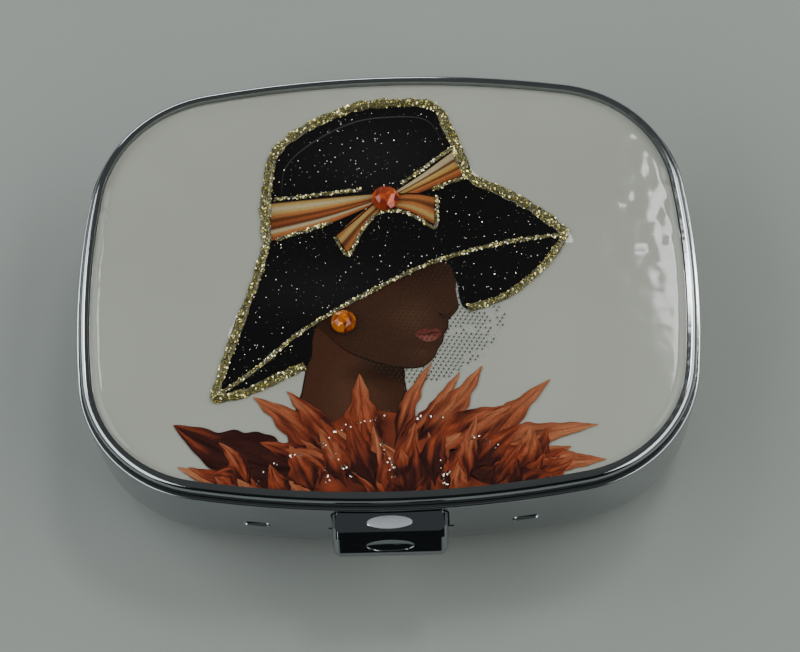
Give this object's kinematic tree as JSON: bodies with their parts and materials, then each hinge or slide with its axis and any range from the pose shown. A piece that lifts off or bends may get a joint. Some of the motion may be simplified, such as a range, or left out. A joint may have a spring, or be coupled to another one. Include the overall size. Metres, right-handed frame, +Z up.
{
  "type": "pill box",
  "caption": "Pocket pill box: a rounded rectangular plated metal case with a picture under clear resin in its hinged lid, a push-button latch, a mirror and a divided tray.",
  "frame": {"origin": "on the table plane, under the middle of the base shell", "axes": "+X right, +Y from the push button towards the hinge, +Z up"},
  "size_m": [0.057, 0.0475, 0.0135],
  "materials": {
    "plated_shell": "bright plated pressed sheet with fine handling marks",
    "plated_button": "bright plated casting",
    "hinge_steel": "plain nickel-plated strip",
    "spring_wire": "drawn spring wire",
    "latch_plastic": "black moulded",
    "tray_plastic": "white moulded with a fine sheen",
    "bezel_plastic": "white moulded",
    "mirror_glass": "silvered glass",
    "white_card": "smooth warm white card",
    "printed_paper": "printed cut-out paper",
    "gold_glitter": "coarse metallic flakes in glue",
    "orange_gem": "cut and foil-backed",
    "clear_resin": "poured clear, uneven"
  },
  "bodies": {
    "base": {"base_shell": "plated_shell", "pill_tray": "tray_plastic", "hinge_leaf_base": "hinge_steel", "hinge_pin": "hinge_steel", "hinge_spring": "spring_wire", "latch_housing": "latch_plastic", "latch_spring": "spring_wire"},
    "button": {"latch_button": "plated_button", "latch_slide": "latch_plastic"},
    "lid": {"lid_shell": "plated_shell", "hinge_leaf_lid": "hinge_steel", "lid_catch": "hinge_steel", "mirror_bezel": "bezel_plastic", "mirror": "mirror_glass", "print_card": "white_card", "figure_cutout": "printed_paper", "glitter_outline": "gold_glitter", "hat_gem": "orange_gem", "earring_gem": "orange_gem", "resin_coat": "clear_resin"}
  },
  "joints": [
    {"name": "lid_hinge", "type": "hinge", "parent": "base", "child": "lid", "pos_m": [0, 0.02145, 0.01108], "axis": [-1, 0, 0], "range_deg": [0, 100], "deforming": ["hinge_spring"]},
    {"name": "button_slide", "type": "slide", "parent": "base", "child": "button", "axis": [0, 1, 0], "range_m": [0, 0.0008], "stiffness_N_per_m": 600, "deforming": ["latch_spring"]}
  ]
}
